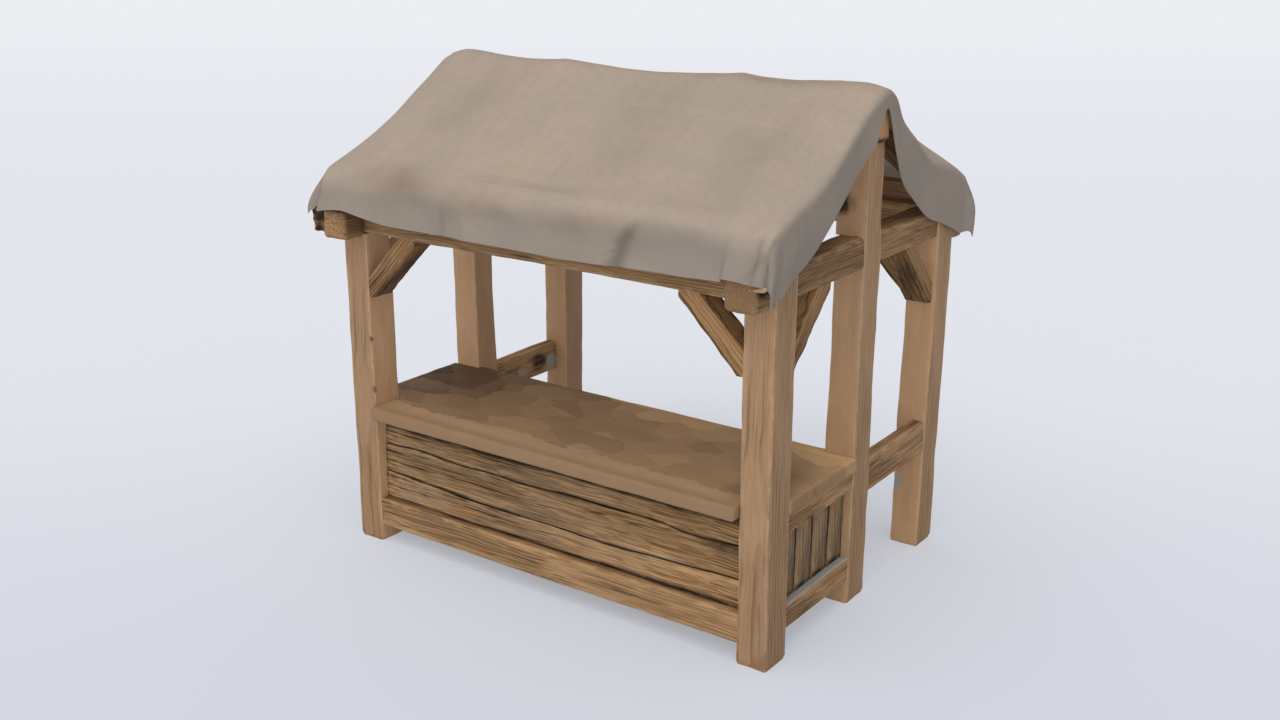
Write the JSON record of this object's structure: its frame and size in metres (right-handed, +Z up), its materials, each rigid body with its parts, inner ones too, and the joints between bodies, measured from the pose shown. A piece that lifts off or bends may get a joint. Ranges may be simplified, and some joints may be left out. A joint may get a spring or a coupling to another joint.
{
  "type": "wooden market stall",
  "caption": "Open timber-framed market stall with a boarded counter, knee braces and a draped cloth roof.",
  "frame": {"origin": "on the ground at the middle of the plan", "axes": "+X along the counter to the customer's right, -Y towards the customers, +Z up"},
  "size_m": [3.2, 2.471, 2.9882],
  "materials": {
    "frame_timber": "sawn, weathered, edges rounded by wear",
    "beam_timber": "rough sawn, dark grain",
    "roof_timber": "rough sawn, sheltered",
    "counter_plank": "worn smooth by use",
    "weathered_boards": "streaky, weathered, dark seams",
    "end_boards": "rough, greyed",
    "canvas": "heavy matt canvas, soft folds"
  },
  "bodies": {
    "root": {"brace_back_plate_left": "frame_timber", "brace_back_plate_right": "frame_timber", "brace_back_tie_left": "frame_timber", "brace_back_tie_right": "frame_timber", "brace_front_plate_left": "frame_timber", "brace_front_plate_right": "frame_timber", "brace_front_tie_left": "frame_timber", "brace_front_tie_right": "frame_timber", "cloth_roof": "canvas", "counter_back_boards": "weathered_boards", "counter_back_rail": "frame_timber", "counter_end_boards_left": "end_boards", "counter_end_boards_right": "end_boards", "counter_front_boards": "weathered_boards", "counter_front_rail": "frame_timber", "counter_low_rail_left": "frame_timber", "counter_low_rail_right": "frame_timber", "counter_top": "counter_plank", "counter_top_rail_left": "frame_timber", "counter_top_rail_right": "frame_timber", "eave_rail_back": "roof_timber", "eave_rail_front": "roof_timber", "plate_back": "beam_timber", "plate_front": "beam_timber", "post_back_left": "frame_timber", "post_back_right": "frame_timber", "post_front_left": "frame_timber", "post_front_right": "frame_timber", "post_middle_left": "frame_timber", "post_middle_right": "frame_timber", "rafter_back_gable_left": "roof_timber", "rafter_back_gable_right": "roof_timber", "rafter_back_inner_left": "roof_timber", "rafter_back_inner_right": "roof_timber", "rafter_front_gable_left": "roof_timber", "rafter_front_gable_right": "roof_timber", "rafter_front_inner_left": "roof_timber", "rafter_front_inner_right": "roof_timber", "ridge_beam": "roof_timber", "side_rail_left": "frame_timber", "side_rail_right": "frame_timber", "tie_beam_left": "beam_timber", "tie_beam_right": "beam_timber"}
  },
  "joints": []
}
